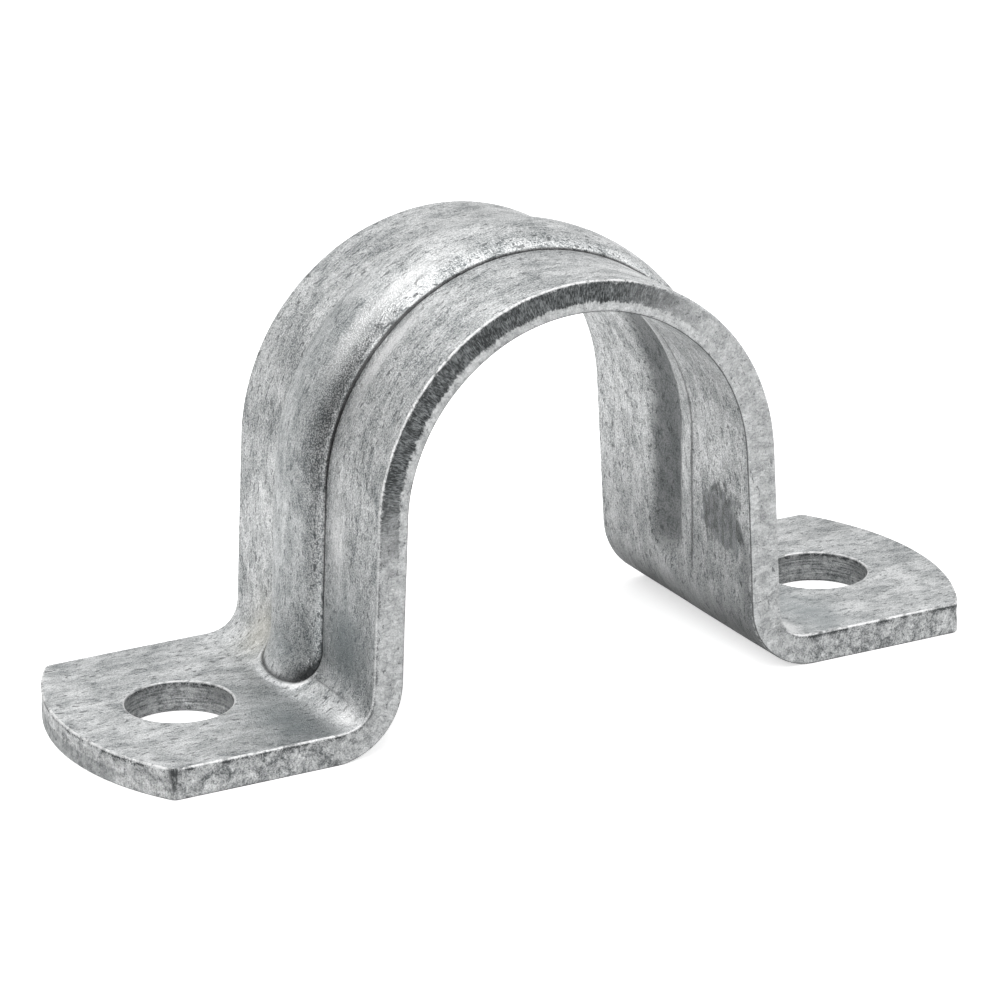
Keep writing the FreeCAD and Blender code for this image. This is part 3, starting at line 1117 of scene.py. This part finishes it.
# %% The dark lines along a wall's edges, one of them painted shade
def dark_lines(tree, patterns):
    """A broken line of painted shade with nicks below the rim, a line at the conduit's side, and
    corner dirt.
    """
    nicks = maths(tree, "MULTIPLY_ADD", patterns["streaks"], -0.25, mark(tree, "inside"))
    below_rim = product(tree, ramp(tree, mark(tree, "inside"), 0.05, 0.07),
                        ramp(tree, nicks, 0.05, -0.03))
    broken = maths(tree, "ADD", product(tree, patterns["blotches"], 0.6),
                   product(tree, patterns["grain"], 0.4))
    below_rim = product(tree, below_rim, ramp(tree, broken, 0.57, 0.44, 0.1, 0.95))
    below_rim = product(tree, below_rim, mark(tree, "edge_line"))

    conduit_side = ramp(tree, mark(tree, "inside"), 0.955, 0.985, 0.0, 0.8)
    dirt = product(tree, mark(tree, "corner_dirt"),
                   ramp(tree, patterns["streaks"], 0.70, 0.45, 0.4, 1.0))
    return maths(tree, "MAXIMUM", maths(tree, "MAXIMUM", below_rim, conduit_side), dirt)


# %% The finish of a wall
def zinc_wall(name, streak_sizes, streak_depth, darkness):
    """A wall: "streak_sizes" are the length along the wall and through it, in millimetres."""
    finish, tree, shader = new_finish(name)
    patterns = wall_patterns(tree, streak_sizes)
    torn = torn_part(tree, patterns)

    level = wall_level(tree, patterns, streak_depth, darkness)
    colour = mixed(tree, level, grey(0.12, 0.04), PALE_ZINC)
    colour = mixed(tree, torn, colour, torn_colour(tree, patterns))
    colour = with_lip_and_rim(tree, patterns, colour)
    colour = mixed(tree, dark_lines(tree, patterns), colour, grey(0.06, 0.04))
    specks = ramp(tree, patterns["specks"], 0.57, 0.67, 0.0, 0.75)
    put(tree, mixed(tree, specks, colour, grey(0.08, 0.04)), shader.inputs["Base Color"])

    roughness = ramp(tree, patterns["blotches"], 0.3, 0.7, 0.52, 0.40)
    put(tree, roughness, shader.inputs["Roughness"])
    rougher = maths(tree, "MULTIPLY_ADD", torn, 2.0, 1.0)
    normal = relief(tree, product(tree, patterns["grain"], rougher), 0.00007)
    put(tree, relief(tree, patterns["streaks"], 0.00008, normal), shader.inputs["Normal"])
    return finish


# %% Put the finishes on the strap, in the order of the kinds
finishes = [
    zinc_skin(),
    zinc_wall("sheared_zinc", (0.20, 0.55), 0.12, darkness=0.06),
    # The punched wall is set darker: painted shade inside the screw holes.
    zinc_wall("punched_zinc", (3.0, 0.12), 0.30, darkness=0.23),
]
for finish in finishes:
    mesh.materials.append(finish)
print("finishes:", [finish.name for finish in finishes])

# %% [markdown]
# ## Camera
#
# A long lens from some way off keeps the strap's lines nearly parallel. The camera stands to
# the front left of the strap and looks down on it by 20 degrees.

# %% Camera
AZIMUTH = np.radians(-28.2)
ELEVATION = np.radians(20.05)
ROLL = np.radians(-0.485)
DISTANCE = 350.4
FOCAL_LENGTH = 178.0
SENSOR_WIDTH = 36.0
LOOK_AT = np.array([-0.54, 0.0, 12.59])

backwards = np.array([
    np.sin(AZIMUTH) * np.cos(ELEVATION), -np.cos(AZIMUTH) * np.cos(ELEVATION), np.sin(ELEVATION)])
place = Matrix.Translation(Vector((LOOK_AT + DISTANCE * backwards) * MM))
turn = Matrix.Rotation(AZIMUTH, 4, "Z") @ Matrix.Rotation(np.pi / 2 - ELEVATION, 4, "X")
camera_data = bpy.data.cameras.new("camera")
camera_data.sensor_width = SENSOR_WIDTH
camera_data.lens = FOCAL_LENGTH
camera = bpy.data.objects.new("camera", camera_data)
bpy.context.collection.objects.link(camera)
camera.matrix_world = place @ turn @ Matrix.Rotation(ROLL, 4, "Z")
bpy.context.scene.camera = camera
print("camera at", camera.matrix_world.translation)

# %% [markdown]
# ## Floor and light
#
# Metal shows what stands round it. The strap stands on a white floor in a white room. A large
# soft lamp stands high on the left, a weaker one hangs overhead and a third fills in from the
# right. A dark card on the left gives the bright metal something dark to reflect, as is done
# when such parts are pictured for a catalogue. The room is white to the eye and in
# reflections, and less than half as bright as a source of light. The floor glows to the eye,
# and far less in reflections, so that it looks white and still keeps the strap's shadow.

# %% The white room
ROOM_LIGHT = 0.45
room = bpy.data.worlds.new("studio")
room.use_nodes = True
tree = room.node_tree
background = tree.nodes["Background"]
background.inputs["Color"].default_value = (1, 1, 1, 1)
rays = tree.nodes.new("ShaderNodeLightPath")
seen = maths(tree, "MAXIMUM", rays.outputs["Is Camera Ray"], rays.outputs["Is Glossy Ray"])
seen = maths(tree, "MAXIMUM", seen, rays.outputs["Is Transmission Ray"])
put(tree, ramp(tree, seen, 0.0, 1.0, ROOM_LIGHT, 1.0), background.inputs["Strength"])
bpy.context.scene.world = room
bpy.context.scene.view_settings.view_transform = "Standard"
print("room light:", ROOM_LIGHT)


# %% Helpers that make cards and lamps
def flat_card(name, middle, size, facing, colour):
    """A square card at "middle", turned so that its face looks at "facing"."""
    card_mesh = bpy.data.meshes.new(name)
    half = size / 2
    corners = [(-half, -half, 0), (half, -half, 0), (half, half, 0), (-half, half, 0)]
    card_mesh.from_pydata(corners, [], [(0, 1, 2, 3)])
    card = bpy.data.objects.new(name, card_mesh)
    bpy.context.collection.objects.link(card)
    towards = Vector(facing) - Vector(middle)
    turn = towards.to_track_quat("Z", "Y")
    card.matrix_world = Matrix.Translation(middle) @ turn.to_matrix().to_4x4()
    paint = bpy.data.materials.new(name)
    paint.use_nodes = True
    card_shader = paint.node_tree.nodes["Principled BSDF"]
    card_shader.inputs["Base Color"].default_value = colour
    card_shader.inputs["Roughness"].default_value = 0.9
    card_mesh.materials.append(paint)
    return card


def soft_lamp(name, middle, size, watts):
    """A square lamp that looks at the strap."""
    lamp = bpy.data.lights.new(name, "AREA")
    lamp.size = size
    lamp.energy = watts
    stand = bpy.data.objects.new(name, lamp)
    bpy.context.collection.objects.link(stand)
    turn = (-Vector(middle)).to_track_quat("-Z", "Y")
    stand.matrix_world = Matrix.Translation(middle) @ turn.to_matrix().to_4x4()


# %% The floor, a hair below the feet so that the two surfaces don't fight
FLOOR_DROP = 0.01 * MM
FLOOR_GLOW = 0.6
GLOW_IN_REFLECTIONS = 0.1
floor = flat_card("floor", (0, 0, -FLOOR_DROP), 1.2, (0, 0, 1), (0.93, 0.93, 0.93, 1))
paint = floor.data.materials[0].node_tree
shader = paint.nodes["Principled BSDF"]
shader.inputs["Emission Color"].default_value = (1, 1, 1, 1)
rays = paint.nodes.new("ShaderNodeLightPath")
seen = maths(paint, "MULTIPLY_ADD", rays.outputs["Is Glossy Ray"], GLOW_IN_REFLECTIONS,
             rays.outputs["Is Camera Ray"])
put(paint, product(paint, seen, FLOOR_GLOW), shader.inputs["Emission Strength"])
print("floor at", floor.matrix_world.translation.z)

# %% The dark card, which only reflections see
card = flat_card("left_card", (-0.45, 0.05, 0.16), 0.55, (0, 0, 0.02), (0.02, 0.02, 0.02, 1))
card.visible_camera = False
card.visible_shadow = False
card.visible_diffuse = False

# %% The lamps: where they stand, how large they are and their watts
soft_lamp("key", (-0.40, -0.32, 0.60), 0.80, 5.2)
soft_lamp("overhead", (-0.10, 0.20, 0.60), 0.70, 1.0)
soft_lamp("fill", (0.50, -0.30, 0.40), 0.50, 1.3)
print("lamps:", [lamp.name for lamp in bpy.data.lights])
